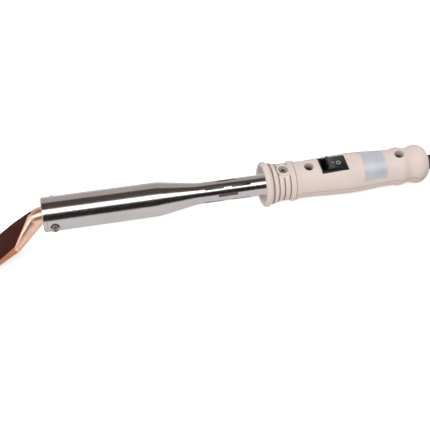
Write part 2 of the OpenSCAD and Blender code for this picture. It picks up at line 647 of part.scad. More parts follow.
// The cord on the surface: a short lead, a hank of loops with a tie, and a tail with the plug
lead_path = concat(spline(concat([cord_exit, cord_exit + 8 * cord_dir, cord_exit + 16 * cord_dir],
  [[222, 1.6, 5.7], [233, 5.2, 4.1], [244, 10, 3.6]],
  [hank_at(0) - [2.2 * stub, 0.4, 0], hank_at(0) - [1.5 * stub, 0, 0]]), 2), [hank_at(0) - [stub, 0, 0]]);
tail_path = concat([hank_at(hank_turns) - [stub, 0, 0]],
  spline(concat([hank_at(hank_turns) - [1.5 * stub, 0, 0], hank_at(hank_turns) - [2.2 * stub, 0, 0.3]],
  [[241, -53.4, 10.4], [231, -48, 8.9]],
  [plug_at + [nose_len + 1.5 * stub, -0.4, nose_z], plug_at + [nose_len + 0.6 * stub, 0, nose_z]]), 2),
  [plug_at + [nose_len, 0, nose_z]]);
module cord_lead() color("#1c1c1e") swept(lead_path, cord_r, 8);
module cord_tail() color("#1c1c1e") swept(tail_path, cord_r, 8);
// Point of the hank after t loops: runs drawn in at the waist, round folds, a spiral in and out again
function hank_r(t) = hank_out - hank_step * (t < climb ? t : t < 4 - climb ? climb : 4 - t);
function hank_z(t) = cord_r + hank_layer * (t < climb ? 0 : t > 4 - climb ? 1
  : (1 - cos(360 * (t - climb))) / 2);
function hank_at(t) = let (q = (t - floor(t)) * 4, r = hank_r(t), h = hank_run / 2,
    x = q < 1 ? h * (2 * q - 1) : q < 2 ? h + r * sin(180 * (q - 1)) : q < 3 ? h * (5 - 2 * q)
      : -h - r * sin(180 * (q - 3)),
    draw = abs(x) < h ? pow(cos(90 * x / h), 2) : 0,
    w = waist_in + waist_step * (r - hank_out + 2 * hank_step) / hank_step,
    y = q < 1 ? r + (w - r) * draw : q < 2 ? r * cos(180 * (q - 1)) : q < 3 ? -r - (w - r) * draw
      : -r * cos(180 * (q - 3)))
  [fold_x + h + x, hank_y + y, hank_z(t) + tie_t * draw];
hank_path = concat([hank_at(0) - [stub, 0, 0]],
  [for (i = [0:hank_turns * loop_rings]) hank_at(i / loop_rings)],
  [hank_at(hank_turns) - [stub, 0, 0]]);
function self_gap(p, skip) = min([for (i = [0:len(p) - 1 - skip]) for (j = [i + skip:len(p) - 1])
  norm(p[i] - p[j])]);
function path_len(p) = len(p) < 2 ? 0 : norm(p[1] - p[0]) + path_len([for (i = [1:len(p) - 1]) p[i]]);
module cord_hank() color("#1c1c1e") swept(hank_path, cord_r, 6);
tie_left = -waist_in - waist_step * 1.625 - cord_r - 0.2;
tie_right = waist_in + waist_step * 1.875 + cord_r + 0.2;
tie_top = tie_t + hank_layer + 2 * cord_r + 0.2;
module cord_tie() color("#303034") translate([fold_x + hank_run / 2, hank_y, 0]) rotate([90, 0, 90])
  translate([0, 0, -tie_w / 2]) linear_extrude(tie_w) difference() {
    tie_outline(tie_t - 0.1);
    tie_outline(0);
  }
module tie_outline(t) polygon([[tie_left - t, tie_t - 0.1 - t], [tie_right + t, tie_t - 0.1 - t],
  [tie_right + t, tie_top - 7], [tie_right - 6, tie_top + t], [tie_left + 2, tie_top + t],
  [tie_left - t, tie_top - 2]]);

// Moulded plug lying on its back with its pins up and its nose toward the hank
module plug_body() color("#1c1c1e") translate(plug_at) {
  cylinder(r = plug_r, h = 6);
  translate([0, 0, 6]) cylinder(r1 = plug_r, r2 = plug_r - 2, h = plug_t - 6);
  translate([plug_r - 5, 0, nose_z]) rotate([0, 90, 0])
    cylinder(r1 = nose_z - 0.5, r2 = nose_r, h = nose_len - plug_r + 5);
}
module plug_pins() color("silver") translate(plug_at) {
  for (s = [-1, 1])
    translate([-5, s * 6.85, plug_t]) rotate(-s * 30) block([-3.15, -0.8, 0], [3.15, 0.8, 17]);
  translate([6, 0, plug_t]) block([-3.15, -0.8, 0], [3.15, 0.8, 20]);
}

echo(tilt = tilt, place_x = place_x, place_z = place_z, cord_exit = cord_exit,
  hank_gap = self_gap(hank_path, 9) - 2 * cord_r,
  lengths = [path_len(lead_path), path_len(hank_path), path_len(tail_path)]);

soldering_tip();
clamp_screw_near();
clamp_screw_far();
barrel();
front_bush();
heater_core();
inner_mica();
heating_winding();
outer_mica();
rear_insulator();
heater_tails();
heater_leads();
handle_upper();
handle_lower();
collar_screw();
handle_screws();
switch_body();
rocker();
switch_tabs();
earth_screw();
earth_lead();
terminal_block();
terminal_screws();
cord_inner();
cord_cores();
cord_stop();
cord_boot();
cord_lead();
cord_hank();
cord_tail();
cord_tie();
plug_body();
plug_pins();
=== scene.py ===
"""Heavy electric soldering iron: the look of every piece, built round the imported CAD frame.

All sizes are in metres. Pieces of the iron are modelled with the barrel axis on X and the front
of the grip at x = 0, and then laid down with the rest of the iron by LAID.
"""
import math

import bpy
from mathutils import Matrix, Vector


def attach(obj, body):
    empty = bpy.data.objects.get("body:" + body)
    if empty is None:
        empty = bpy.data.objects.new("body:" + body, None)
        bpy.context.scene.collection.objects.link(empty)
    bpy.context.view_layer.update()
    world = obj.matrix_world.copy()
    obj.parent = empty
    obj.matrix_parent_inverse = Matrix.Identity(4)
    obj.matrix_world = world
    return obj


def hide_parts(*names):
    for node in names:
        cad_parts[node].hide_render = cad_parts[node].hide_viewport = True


bl_info = {
    "name": "Electric soldering iron",
    "version": (1, 0, 0),
    "blender": (4, 5, 0),
    "location": "3D View > Sidebar > Iron",
    "description": "Models and finishes a heavy electric soldering iron with its cord",
    "category": "Object",
}

MM = 0.001
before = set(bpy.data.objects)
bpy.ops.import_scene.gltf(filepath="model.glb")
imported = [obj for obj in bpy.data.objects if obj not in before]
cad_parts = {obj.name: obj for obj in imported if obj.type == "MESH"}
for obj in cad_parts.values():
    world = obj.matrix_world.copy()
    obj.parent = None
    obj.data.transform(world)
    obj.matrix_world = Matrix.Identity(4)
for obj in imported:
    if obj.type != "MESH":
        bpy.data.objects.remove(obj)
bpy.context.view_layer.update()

# How the iron lies on the surface: its tilt, and where its own zero comes to
TILT = math.radians(5.395691191417942)
PLACE = Vector((0.022241012412455504, 0, 0.026777919424106873))
LAID = Matrix.Translation(PLACE) @ Matrix.Rotation(TILT, 4, "Y")

# Places along the iron's own axis
MOUTH = -0.1629
TAPER = (-0.082, -0.046)
NECK_HOLD = 0.028
CLAMP_X = -0.1549
BEND = (-0.167971, -0.002929)
BEND_ANGLE = math.radians(45)
GRIP_LEN = 0.133
SCREWS_X = (0.0353, 0.108)
COLLAR_X = 0.0152
SWITCH_X = 0.0548
BOOT_END = 0.171

# Radii
BARREL_R = 0.0127
NECK_R = 0.00795
WALL = 0.0008
SEAT = 0.0001
SEAT_R = NECK_R + SEAT
FLANGE_R = 0.0173
GRIP_R = 0.0155
WELL_R = 0.00365
POST_R = 0.0047
SCREW_R = 0.0015
BOSS_R = 0.0051
BOSS_TOP = 0.0148


# ---------------------------------------------------------------- modelling


def only(obj):
    """Leaves edit mode and selects one object."""
    if bpy.context.object and bpy.context.object.mode != "OBJECT":
        bpy.ops.object.mode_set(mode="OBJECT")
    bpy.ops.object.select_all(action="DESELECT")
    if obj:
        obj.select_set(True)
        bpy.context.view_layer.objects.active = obj
    return obj


def edit(kind="VERT"):
    bpy.ops.object.mode_set(mode="EDIT")
    bpy.ops.mesh.select_mode(type=kind)
    bpy.ops.mesh.select_all(action="SELECT")


def leave():
    bpy.ops.object.mode_set(mode="OBJECT")


def ease(x0, r0, x1, r1, n):
    """A smooth step of an outline from one place and radius to another."""
    return [(x0 + (x1 - x0) * i / n, r0 + (r1 - r0) * (1 - math.cos(math.pi * i / n)) / 2)
            for i in range(n + 1)]


def arc(cx, cr, r, a0, a1, n):
    """Part of a circle in an outline; the angle is counted from the radius towards +X."""
    angles = [math.radians(a0 + (a1 - a0) * i / n) for i in range(n + 1)]
    return [(cx + r * math.sin(a), cr + r * math.cos(a)) for a in angles]


def taper(x0, r0, x1, r1, b, n=6):
    """A straight taper with both of its corners rounded over the length b."""
    k = (r1 - r0) / (x1 - x0 - b) * b / (2 * n * n)
    return ([(x0 + b * i / n, r0 + k * i * i) for i in range(n + 1)]
            + [(x1 - b * i / n, r1 - k * i * i) for i in range(n, -1, -1)])


def turned(name, outline, sides):
    """Spins an outline of (x, radius) about X. It closes at a pole or where it ends as it began."""
    only(None)
    x, r = outline[0]
    bpy.ops.mesh.primitive_plane_add(size=MM, location=(x, 0, r))
    obj = bpy.context.object
    obj.name = name
    edit()
    bpy.ops.mesh.merge(type="CENTER")
    for (xa, ra), (xb, rb) in zip(outline, outline[1:]):
        bpy.ops.mesh.extrude_region_move(
            TRANSFORM_OT_translate={"value": (xb - xa, 0, rb - ra)})
    bpy.ops.mesh.select_all(action="SELECT")
    bpy.ops.mesh.spin(steps=sides, angle=2 * math.pi, center=(0, 0, 0), axis=(1, 0, 0))
    bpy.ops.mesh.select_all(action="SELECT")
    bpy.ops.mesh.remove_doubles(threshold=2e-6)
    bpy.ops.mesh.normals_make_consistent(inside=False)
    leave()
    bpy.ops.object.transform_apply(location=True, rotation=True, scale=True)
    return obj


def rod(name, r, start, end, sides=48, top_r=None):
    """A round rod or cone between two points."""
    only(None)
    start, end = Vector(start), Vector(end)
    way = end - start
    bpy.ops.mesh.primitive_cone_add(
        vertices=sides, radius1=r, radius2=r if top_r is None else top_r, depth=way.length,
        location=(start + end) / 2, rotation=way.to_track_quat("Z", "Y").to_euler())
    obj = bpy.context.object
    obj.name = name
    bpy.ops.object.transform_apply(location=True, rotation=True, scale=True)
    return obj


def box(name, low, high):
    only(None)
    low, high = Vector(low), Vector(high)
    bpy.ops.mesh.primitive_cube_add(size=1, location=(low + high) / 2, scale=high - low)
    obj = bpy.context.object
    obj.name = name
    bpy.ops.object.transform_apply(location=True, rotation=True, scale=True)
    return obj


def joined(objs):
    only(objs[0])
    for o in objs:
        o.select_set(True)
    if len(objs) > 1:
        bpy.ops.object.join()
    return bpy.context.object


def combine(obj, other, how):
    """Cuts, adds or keeps the common part of two closed meshes, and removes the second."""
    only(obj)
    bpy.ops.object.modifier_add(type="BOOLEAN")
    mod = obj.modifiers[-1]
    mod.operation, mod.object, mod.solver = how, other, "EXACT"
    bpy.ops.object.modifier_apply(modifier=mod.name)
    bpy.data.objects.remove(other)
    return obj


def bevelled(obj, width, segments=2, angle=30):
    only(obj)
    bpy.ops.object.modifier_add(type="BEVEL")
    mod = obj.modifiers[-1]
    mod.width, mod.segments, mod.limit_method = width, segments, "ANGLE"
    mod.angle_limit = math.radians(angle)
    mod.use_clamp_overlap = True
    mod.miter_outer = "MITER_ARC"
    bpy.ops.object.modifier_apply(modifier=mod.name)
    return obj


def smooth(obj, angle):
    only(obj)
    bpy.ops.object.shade_smooth_by_angle(angle=math.radians(angle))
    return obj


def lay_down(obj):
    obj.matrix_world = LAID @ obj.matrix_world
    only(obj)
    bpy.ops.object.transform_apply(location=True, rotation=True, scale=True)
    return obj


def copied(node, name):
    """A merged copy of a CAD node's mesh, free of the frame's marks."""
    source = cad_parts[node]
    obj = bpy.data.objects.new(name, source.data.copy())
    bpy.context.scene.collection.objects.link(obj)
    obj.data.materials.clear()
    only(obj)
    edit()
    bpy.ops.mesh.remove_doubles(threshold=2e-6)
    leave()
    if obj.data.has_custom_normals:
        bpy.ops.mesh.customdata_custom_splitnormals_clear()
    return obj


def settle(obj, body, material, *nodes, slot=None):
    """Gives a finished piece its material and its body, and lets it stand for CAD nodes."""
    if material:
        obj.data.materials.clear()
        obj.data.materials.append(material)
    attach(obj, body)
    if nodes:
        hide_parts(*nodes)
    return obj


def dressed(node, name, body, material, slot, width=0, angle=30, segments=2):
    """A CAD node's merged copy with rounded edges and smooth curves."""
    obj = copied(node, name)
    if width:
        only(obj)
        edit()
        bpy.ops.mesh.dissolve_limited(angle_limit=math.radians(0.5))
        leave()
        bevelled(obj, width, segments, angle)
    smooth(obj, 35)
    return settle(obj, body, material, node, slot=slot)


# ---------------------------------------------------------------- finishes


class Finish:
    """Builds one node material round a Principled shader."""

    def __init__(self, name, **sockets):
        self.material = bpy.data.materials.new(name)
        self.material.use_nodes = True
        self.tree = self.material.node_tree
        self.shader = self.tree.nodes["Principled BSDF"]
        for key, value in sockets.items():
            self.shader.inputs[key.replace("_", " ")].default_value = value
        self.coords = self.add("ShaderNodeTexCoord").outputs["Object"]

    def add(self, kind, settings=None, **inputs):
        node = self.tree.nodes.new(kind)
        for key, value in (settings or {}).items():
            setattr(node, key, value)
        for key, value in inputs.items():
            socket = node.inputs[key.replace("_", " ")]
            if isinstance(value, bpy.types.NodeSocket):
                self.tree.links.new(value, socket)
            else:
                socket.default_value = value
        return node

    def to(self, socket, name):
        self.tree.links.new(socket, self.shader.inputs[name])
        return self

    def iron_coords(self):
        """Object coordinates turned so that X runs along the iron's own axis."""
        back = LAID.inverted()
        return self.add("ShaderNodeMapping", Vector=self.coords, Location=back.to_translation(),
                        Rotation=back.to_euler()).outputs["Vector"]

    def stretched(self, coords, scale):
        return self.add("ShaderNodeMapping", Vector=coords, Scale=scale).outputs["Vector"]

    def noise(self, coords, scale, detail=3.0, roughness=0.5):
        return self.add("ShaderNodeTexNoise", Vector=coords, Scale=scale, Detail=detail,
                        Roughness=roughness).outputs["Fac"]

    def ramp(self, factor, *stops):
        """A colour or a number along a factor; a stop is (place, colour or number)."""
        node = self.add("ShaderNodeValToRGB", Fac=factor)
        marks = node.color_ramp.elements
        while len(marks) < len(stops):
            marks.new(0.5)
        for mark, (place, value) in zip(marks, stops):
            mark.position = place
            mark.color = value if hasattr(value, "__len__") else (value, value, value, 1)
        return node.outputs["Color"]

    def bump(self, height, strength, distance, normal=None):
        node = self.add("ShaderNodeBump", Height=height, Strength=strength, Distance=distance)
        if normal:
            self.tree.links.new(normal, node.inputs["Normal"])
        self.tree.links.new(node.outputs["Normal"], self.shader.inputs["Normal"])
        return node.outputs["Normal"]

    def mix(self, factor, a, b):
        node = self.add("ShaderNodeMix", {"data_type": "RGBA"})
        for socket, value in zip((node.inputs[0], node.inputs[6], node.inputs[7]), (factor, a, b)):
            if isinstance(value, bpy.types.NodeSocket):
                self.tree.links.new(value, socket)
            else:
                socket.default_value = value
        return node.outputs[2]


def shade(colour, k):
    return tuple(min(1, c * k) for c in colour[:3]) + (1,)


def moulded(name, colour, roughness, grain=0.00012, strength=0.12, mottle=0.06, **sockets):
    """Moulded plastic or rubber: a slight mottle, fine grain and uneven gloss."""
    f = Finish(name, **sockets)
    cloud = f.noise(f.coords, 60.0, 2.0)
    f.to(f.ramp(cloud, (0.3, shade(colour, 1 - mottle)), (0.7, shade(colour, 1 + mottle))),
         "Base Color")
    fine = f.noise(f.coords, 1 / grain / 12, 4.0, 0.6)
    f.to(f.ramp(fine, (0.3, roughness - 0.05), (0.7, roughness + 0.05)), "Roughness")
    f.bump(fine, strength, 0.00008)
    return f.material


def turned_metal(name, colour, roughness, along=9000.0, **sockets):
    """Metal with fine rings round the iron's axis, as turning and polishing leave them."""
    f = Finish(name, Metallic=1.0, **sockets)
    coords = f.iron_coords()
    rings = f.noise(f.stretched(coords, (along, 120.0, 120.0)), 1.0, 3.0, 0.7)
    cloud = f.noise(f.stretched(coords, (25.0, 70.0, 70.0)), 1.0, 3.0)
    f.to(f.mix(f.ramp(cloud, (0.35, 0.0), (0.7, 1.0)), shade(colour, 0.93), shade(colour, 1.04)),
         "Base Color")
    f.to(f.ramp(rings, (0.25, roughness - 0.05), (0.75, roughness + 0.06)), "Roughness")
    f.bump(rings, 0.05, 0.00002)
    return f.material


def plain_metal(name, colour, roughness, **sockets):
    f = Finish(name, Metallic=1.0, **sockets)
    cloud = f.noise(f.coords, 300.0, 3.0)
    f.to(f.ramp(cloud, (0.3, shade(colour, 0.86)), (0.75, shade(colour, 1.05))), "Base Color")
    f.to(f.ramp(f.noise(f.coords, 1500.0, 2.0), (0.3, roughness - 0.06), (0.7, roughness + 0.06)),
         "Roughness")
    return f.material


# ---------------------------------------------------------------- what a user can change


def colour_prop(name, description, default):
    return bpy.props.FloatVectorProperty(name=name, description=description, default=default,
                                         subtype="COLOR", size=3, min=0.0, max=1.0)


class IronColours(bpy.types.PropertyGroup):
    """Colours of the iron, as a linear colour each."""

    copper: colour_prop("Copper", "Bright ground copper of the bit", (0.97, 0.62, 0.465))
    # the flats' colour below is a painted dark reflection
    oxide: colour_prop("Oxide", "Dark painted reflection on the flats of the chisel",
                       (0.062, 0.014, 0.007))
    steel: colour_prop("Barrel", "Polished steel of the barrel", (0.61, 0.575, 0.565))
    grip: colour_prop("Grip", "Plastic of the grip", (0.765, 0.65, 0.595))
    black: colour_prop("Switch", "Black plastic of the switch", (0.012, 0.012, 0.014))
    cord: colour_prop("Cord", "Black sheath of the cord", (0.012, 0.012, 0.013))
    label: colour_prop("Label", "Bare foil label on the grip", (0.58, 0.595, 0.635))


class IronSizes(bpy.types.PropertyGroup):
    """Sizes that only the looks use."""

    sides: bpy.props.IntProperty(
        name="Sides", description="Sides of a turned piece", default=160, min=48, max=256)
    edge: bpy.props.FloatProperty(
        name="Edge rounding", description="Rounding of moulded edges", default=0.00025,
        min=0.00005, max=0.0006, unit="LENGTH")
    label_start: bpy.props.FloatProperty(
        name="Label place", description="Where the label starts behind the flange",
        default=0.0770, unit="LENGTH")
    label_length: bpy.props.FloatProperty(
        name="Label length", description="Length of the label along the grip", default=0.0187,
        min=0.01, max=0.022, unit="LENGTH")
    label_reach: bpy.props.FloatProperty(
        name="Label reach", description="How far the label reaches to each side of the top",
        default=math.radians(70), min=0.5, max=1.3, subtype="ANGLE")
    cord_radius: bpy.props.FloatProperty(
        name="Cord radius", description="Radius of the mains cord", default=0.0035,
        min=0.003, max=0.0035, unit="LENGTH")


def sizes():
    return bpy.context.scene.iron_sizes


def tint(name):
    return tuple(getattr(bpy.context.scene.iron_colours, name)) + (1,)


# ---------------------------------------------------------------- route of the cord

CORD_EXIT = LAID @ Vector((BOOT_END, 0, 0))
CORD_WAY = LAID.to_3x3() @ Vector((1, 0, 0))
FOLD_X, RUN, OUT, STEP, LAYER = 0.266, 0.120, 0.036, 0.0086, 0.0085
TURNS, CLIMB = 3.75, 1.75
CORD_R = 0.0035
HANK_Y = FLANGE_R - OUT - CORD_R
WAIST_IN, WAIST_STEP, TIE_T = 0.0024, 0.0089, 0.0012
STUB = 2 * CORD_R
PLUG_AT = Vector((0.178, -0.0425, 0))
NOSE_LEN, NOSE_Z = 0.031, 0.008


def hank_at(t):
    """Point of the hank after t loops: runs drawn in at the waist, round folds, in and out."""
    r = OUT - STEP * (t if t < CLIMB else CLIMB if t < 4 - CLIMB else 4 - t)
    lift = 0 if t < CLIMB else 1 if t > 4 - CLIMB else (1 - math.cos(2 * math.pi * (t - CLIMB))) / 2
    q, h = (t - math.floor(t)) * 4, RUN / 2
    if q < 1:
        x = h * (2 * q - 1)
    elif q < 2:
        x = h + r * math.sin(math.pi * (q - 1))
    elif q < 3:
        x = h * (5 - 2 * q)
    else:
        x = -h - r * math.sin(math.pi * (q - 3))
    draw = math.cos(math.pi / 2 * x / h) ** 2 if abs(x) < h else 0
    w = WAIST_IN + WAIST_STEP * (r - OUT + 2 * STEP) / STEP
    side = (r + (w - r) * draw, r * math.cos(math.pi * (q - 1)), -r - (w - r) * draw,
            -r * math.cos(math.pi * (q - 3)))[int(q)]
    return Vector((FOLD_X + h + x, HANK_Y + side, CORD_R + LAYER * lift + TIE_T * draw))


def through(points, n):
    """A smooth curve through points, with n steps from one to the next."""
    out = []
    for i in range(len(points) - 1):
        a, b, c, d = (points[max(0, min(k, len(points) - 1))] for k in (i - 1, i, i + 1, i + 2))
        for j in range(n):
            t = j / n
            out.append(0.5 * (2 * b + (c - a) * t + (2 * a - 5 * b + 4 * c - d) * t * t
                              + (3 * b - a - 3 * c + d) * t ** 3))
    return out + [points[-1]]


def cord_route():
    start, end = hank_at(0), hank_at(TURNS)
    lead = through(
        [CORD_EXIT, CORD_EXIT + CORD_WAY * 0.008, CORD_EXIT + CORD_WAY * 0.016,
         Vector((0.222, 0.0016, 0.0057)), Vector((0.233, 0.0052, 0.0041)),
         Vector((0.244, 0.010, 0.0036)), start - Vector((2.2 * STUB, 0.0004, 0)),
         start - Vector((1.5 * STUB, 0, 0))], 4)
    loops = [hank_at(i / 72) for i in range(round(TURNS * 72) + 1)]
    tail = through(
        [end - Vector((1.5 * STUB, 0, 0)), end - Vector((2.2 * STUB, 0, 0.0003)),
         Vector((0.241, -0.0534, 0.0104)), Vector((0.231, -0.048, 0.0089)),
         PLUG_AT + Vector((NOSE_LEN + 1.5 * STUB, -0.0004, NOSE_Z)),
         PLUG_AT + Vector((NOSE_LEN + 0.6 * STUB, 0, NOSE_Z))], 4)
    return (lead + [start - Vector((STUB, 0, 0))] + loops + [end - Vector((STUB, 0, 0))] + tail
            + [PLUG_AT + Vector((NOSE_LEN, 0, NOSE_Z))])


# ---------------------------------------------------------------- operators


class IRON_OT_camera(bpy.types.Operator):
    """Add the camera at the photograph's angle"""

    bl_idname = "iron.camera"
    bl_label = "Camera"

    def execute(self, context):
        data = bpy.data.cameras.new("camera")
        data.sensor_width, data.lens = 36.0, 36.0 * 750 / 430
        data.clip_start, data.clip_end = 0.01, 50.0
        camera = bpy.data.objects.new("camera", data)
        context.scene.collection.objects.link(camera)
        camera.location = (-0.0752846, -0.3412761, 0.4700010)
        camera.rotation_euler = [math.radians(a) for a in (36.39736, 1.92987, -12.70556)]
        context.scene.camera = camera
        return {"FINISHED"}


class IRON_OT_cord(bpy.types.Operator):
    """Lay the mains cord with its hank, its tie and its plug"""

    bl_idname = "iron.cord"
    bl_label = "Mains cord and plug"

    def execute(self, context):
        black = tint("cord")
        rubber = moulded("cord rubber", black, 0.42, strength=0.1)
        tie = dressed("cord_tie", "cord_tie_strap", "iron",
                      moulded("tie plastic", shade(black, 2.2), 0.38), "tie_plastic",
                      0.0003, 25)
        plug = dressed("plug_body", "plug_moulding", "iron",
                       moulded("plug plastic", shade(black, 1.3), 0.4, strength=0.2),
                       "plug_plastic", 0.0008, 25, 3)
        pins = dressed("plug_pins", "plug_pin_set", "iron",
                       plain_metal("pin metal", (0.72, 0.68, 0.6), 0.25), "pin_metal",
                       0.0002, 30)
        curve = bpy.data.curves.new("mains_cord", "CURVE")
        curve.dimensions, curve.bevel_depth, curve.bevel_resolution = "3D", sizes().cord_radius, 5
        curve.use_fill_caps = True
        points = cord_route()
        spline = curve.splines.new("POLY")
        spline.points.add(len(points) - 1)
        for mark, point in zip(spline.points, points):
            mark.co = (*point, 1)
        spline.use_smooth = True
        cord = bpy.data.objects.new("mains_cord", curve)
        context.scene.collection.objects.link(cord)
        settle(cord, "iron", rubber, "cord_lead", "cord_hank", "cord_tail", slot="cord_rubber")
        return {"FINISHED"}


class IRON_OT_bit(bpy.types.Operator):
    """Finish the copper bit: bright ground sides, a painted dark reflection on the flats and painted
    shade on the blade's sides
    """

    bl_idname = "iron.bit"
    bl_label = "Copper bit"

    def execute(self, context):
        obj = copied("soldering_tip", "copper_bit")
        only(obj)
        edit()
        bpy.ops.mesh.dissolve_limited(angle_limit=math.radians(0.4))
        leave()
        bevelled(obj, 0.0006, 3, 24)
        # the forging's crease on each side, from the shank to the corner of the shoulder
        blade = (LAID @ Matrix.Translation((BEND[0], 0, BEND[1]))
                 @ Matrix.Rotation(-BEND_ANGLE, 4, "Y"))
        for start, end in (((0.0008, -0.0063, 0.0030), (-0.0214, -0.0134, 0.0016)),
                           ((0.0008, 0.0063, 0.0030), (-0.0214, 0.0090, 0.0016))):
            combine(obj, rod("crease", 0.0007, blade @ Vector(start), blade @ Vector(end), 24),
                    "DIFFERENCE")
        smooth(obj, 24)
        r, g, b, _ = tint("copper")
        settle(obj, "bit", self.bright("bright copper", (r, g, b, 1)), "soldering_tip",
               slot="copper")
        # painted dark reflection on the flats
        obj.data.materials.append(self.dark())
        # painted shade: a darker copy of the bright copper for the blade's sides beyond the shoulder
        obj.data.materials.append(self.bright("toned copper", (r * 0.61, g * 0.41, b * 0.27, 1)))
        to_blade = blade.inverted()
        flat = Vector((math.sin(math.radians(-45)), 0, math.cos(math.radians(45))))
        flat = LAID.to_3x3() @ flat
        tip = LAID @ Vector((-0.1609, 0, 0))
        for face in obj.data.polygons:
            # faces that face the way the flats do, and the far side's face close to them, take the
            # painted dark reflection
            lean = face.normal.dot(flat)
            far_side = lean > 0.86 and face.normal.y > 0.02
            if ((abs(lean) > 0.985 and face.area > 2e-5 or far_side)
                    and face.center.x < tip.x - 0.009):
                face.material_index = 1
            # the blade's sides beyond the shoulder take the painted shade
            elif (to_blade @ face.center).x < -0.0222 and abs(face.normal.y) > 0.5:
                face.material_index = 2
        return {"FINISHED"}

    def bright(self, name, copper):
        f = Finish(name, Metallic=1.0)
        cloud = f.noise(f.coords, 90.0, 4.0, 0.6)
        f.to(f.ramp(cloud, (0.3, shade(copper, 0.88)), (0.55, copper),
                    (0.8, shade(copper, 1.1))), "Base Color")
        fine = f.noise(f.stretched(f.coords, (900.0, 4000.0, 900.0)), 1.0, 3.0, 0.6)
        f.to(f.ramp(fine, (0.3, 0.30), (0.7, 0.40)), "Roughness")
        f.bump(fine, 0.08, 0.00003)
        return f.material

    # a dark, dull copy of copper: a painted dark reflection in place of the metal's own
    def dark(self):
        f = Finish("oxide on copper", Metallic=0.1, Specular_IOR_Level=0.04)
        oxide = tint("oxide")
        cloud = f.noise(f.coords, 70.0, 4.0, 0.55)
        f.to(f.ramp(cloud, (0.3, shade(oxide, 0.75)), (0.6, oxide),
                    (0.8, (oxide[0] * 1.3, oxide[1] * 2.2, oxide[2] * 3, 1))), "Base Color")
        fine = f.noise(f.coords, 1200.0, 4.0, 0.6)
        f.to(f.ramp(fine, (0.3, 0.48), (0.7, 0.6)), "Roughness")
        f.bump(fine, 0.12, 0.00004)
        return f.material


class IRON_OT_barrel(bpy.types.Operator):
    """Turn the barrel, cut its slots and holes and polish it"""

    bl_idname = "iron.barrel"
    bl_label = "Barrel"

    def execute(self, context):
        inside = BARREL_R - WALL
        lip = 0.0012
        outline = (
            [(MOUTH + 0.0004, inside - lip / 2)]
            + arc(MOUTH + lip, BARREL_R - lip, lip, -90, 0, 12)
            + [(MOUTH + 0.0025, BARREL_R), (MOUTH + 0.0027, BARREL_R - 0.0003),
               (MOUTH + 0.0031, BARREL_R - 0.0003), (MOUTH + 0.0033, BARREL_R)]
            + taper(TAPER[0], BARREL_R, TAPER[1], NECK_R, 0.006)
            + [(NECK_HOLD, NECK_R), (NECK_HOLD, NECK_R - WALL)]
            + taper(TAPER[1], NECK_R - WALL, TAPER[0], inside, -0.006)
            + [(MOUTH + 0.0022, inside), (MOUTH + 0.0022, inside - lip / 2),
               (MOUTH + 0.0004, inside - lip / 2)])
        tube = turned("barrel_tube", outline, sizes().sides)
        cuts = []
        for k in range(8):
            turn = math.radians(45 * k + 22.5)
            for s in ((-0.5, 0.5) if k % 2 == 0 else (0,)):
                cuts.append(self.slot_cutter(-0.0274 + s * 0.0205, turn))
        for side in (-1, 1):
            cuts.append(rod("hole", 0.0033, (CLAMP_X, side * 0.009, 0), (CLAMP_X, side * 0.0137, 0)))
        cuts.append(rod("hole", SCREW_R + 0.00005, (COLLAR_X, 0, 0.006), (COLLAR_X, 0, 0.009)))
        cuts.append(rod("hole", SCREW_R + 0.00005, (0.0235, 0, -0.009), (0.0235, 0, -0.006)))
        combine(tube, joined(cuts), "DIFFERENCE")
        smooth(tube, 32)
        lay_down(tube)
        settle(tube, "iron", turned_metal("polished barrel", tint("steel"), 0.17), "barrel",
               slot="barrel_steel")
        return {"FINISHED"}

    def slot_cutter(self, x, turn):
        half = (0.015 - 0.002) / 2
        cutter = rod("slot", 0.001, (x, 0, 0.006), (x, 0, 0.0095), 24)
        only(cutter)
        bpy.ops.transform.rotate(value=math.radians(7.5), orient_axis="Z",
                                 center_override=(x, 0, 0))
        bpy.ops.object.transform_apply(location=True, rotation=True, scale=True)
        edit()
        for way in (-1, 1):
            bpy.ops.mesh.select_all(action="DESELECT")
            leave()
            for v in cutter.data.vertices:
                v.select = way * (v.co.x - x) > 0 and abs(v.co.x - x) < 0.002
            bpy.ops.object.mode_set(mode="EDIT")
            bpy.ops.transform.translate(value=(way * half, 0, 0))
        leave()
        cutter.matrix_world = Matrix.Rotation(turn, 4, "X") @ cutter.matrix_world
        only(cutter)
        bpy.ops.object.transform_apply(location=True, rotation=True, scale=True)
        return cutter


RING_R = (0.0156, 0.0145, 0.0139, 0.0141)
GROOVE_X, GROOVE_PITCH, GROOVE_W, GROOVE_DEPTH = 0.006, 0.0044, 0.0009, 0.0011
BEAD_X = 0.0222
STEP_X = BEAD_X + 0.00115


def groove(k):
    """Section of groove k: rounded edges, steep walls and a rounded bottom."""
    x, top, low = GROOVE_X + k * GROOVE_PITCH, RING_R[k], RING_R[k] - GROOVE_DEPTH
    wide = 1.4 if k == 0 else 1.0
    half = [(u * wide, r) for u, r in (
        (-0.00062, top + 0.00004), (-0.0005, top - 0.00003), (-0.00043, top - 0.00016),
        (-0.0004, low + 0.0004), (-0.00032, low + 0.00014), (-0.00016, low + 0.00002))]
    return ([(x + u, r) for u, r in half] + [(x, low)]
            + [(x - u, r) for u, r in reversed(half)])


